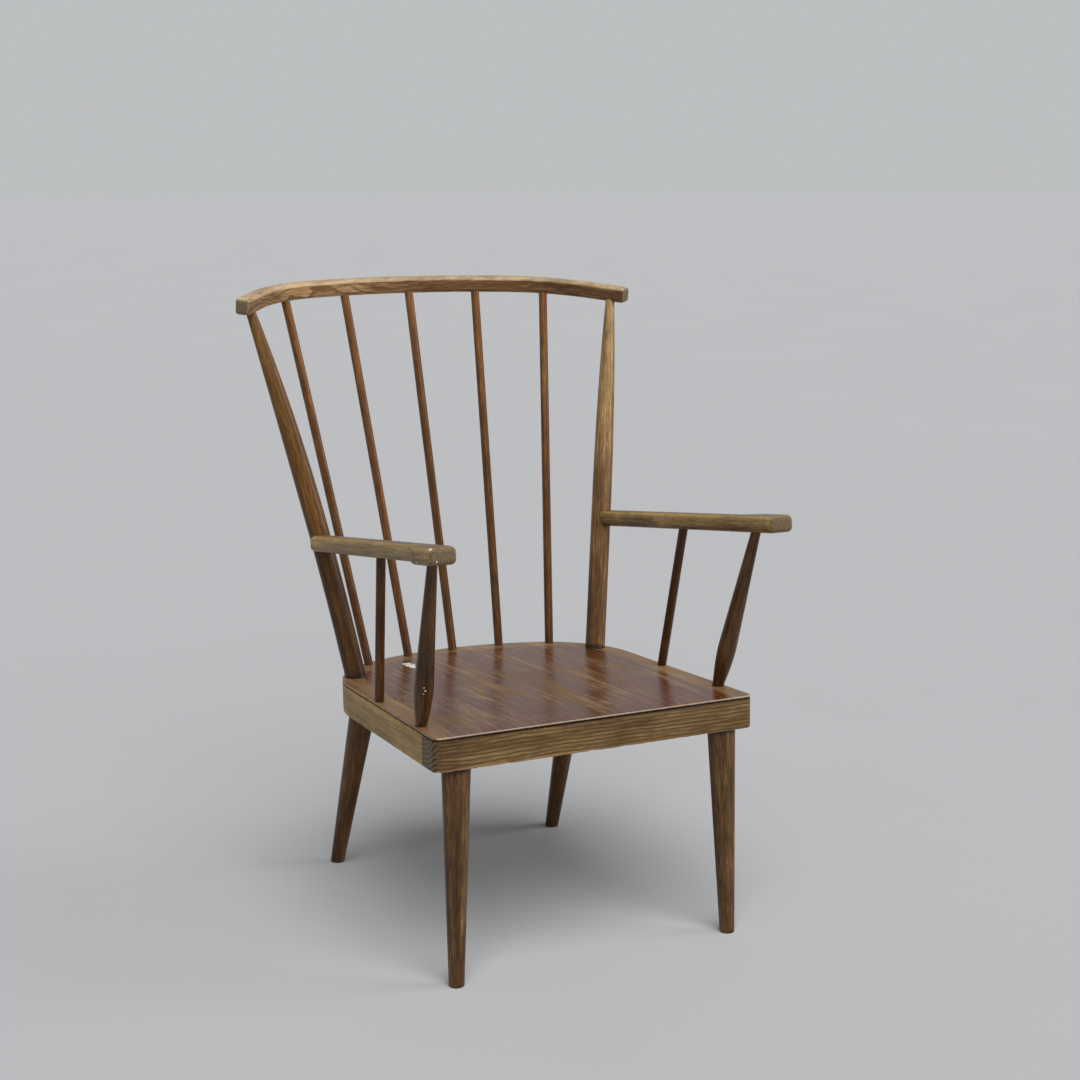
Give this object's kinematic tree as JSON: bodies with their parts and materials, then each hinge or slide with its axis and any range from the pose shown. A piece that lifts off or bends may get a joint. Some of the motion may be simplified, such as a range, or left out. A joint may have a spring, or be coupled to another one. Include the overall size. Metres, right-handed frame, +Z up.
{
  "type": "armchair",
  "caption": "Spindle-back wooden lounge armchair with a bent crest rail, sloping paddle arms, a plywood seat and turned tapered legs; stained, varnished and worn.",
  "frame": {"origin": "on the floor, under the middle of the bounding box", "axes": "+Z up, the chair faces -Y, +X is on the right of a viewer in front of it"},
  "size_m": [0.7014, 0.7694, 0.9598],
  "materials": {
    "panel": "worn red-brown varnish with fine scratches",
    "rail": "worn olive-tan stain",
    "turned": "dark stain under worn varnish",
    "crest": "worn brown stain with pale edges",
    "arm": "varnish worn through to pale wood",
    "dowel": "raw wood",
    "steel": "dull"
  },
  "bodies": {
    "root": {"seat_panel": "panel", "front_rail": "rail", "bent_rail": "rail", "crest_rail": "crest", "middle_spindle": "turned", "left_front_leg": "turned", "left_rear_leg": "turned", "left_back_post": "turned", "left_arm": "arm", "left_arm_spindle": "turned", "left_arm_post": "turned", "left_arm_screw": "steel", "left_upper_frame_dowel": "dowel", "left_lower_frame_dowel": "dowel", "left_inner_spindle": "turned", "left_outer_spindle": "turned", "right_front_leg": "turned", "right_rear_leg": "turned", "right_back_post": "turned", "right_arm": "arm", "right_arm_spindle": "turned", "right_arm_post": "turned", "right_arm_screw": "steel", "right_upper_frame_dowel": "dowel", "right_lower_frame_dowel": "dowel", "right_inner_spindle": "turned", "right_outer_spindle": "turned"}
  },
  "joints": []
}
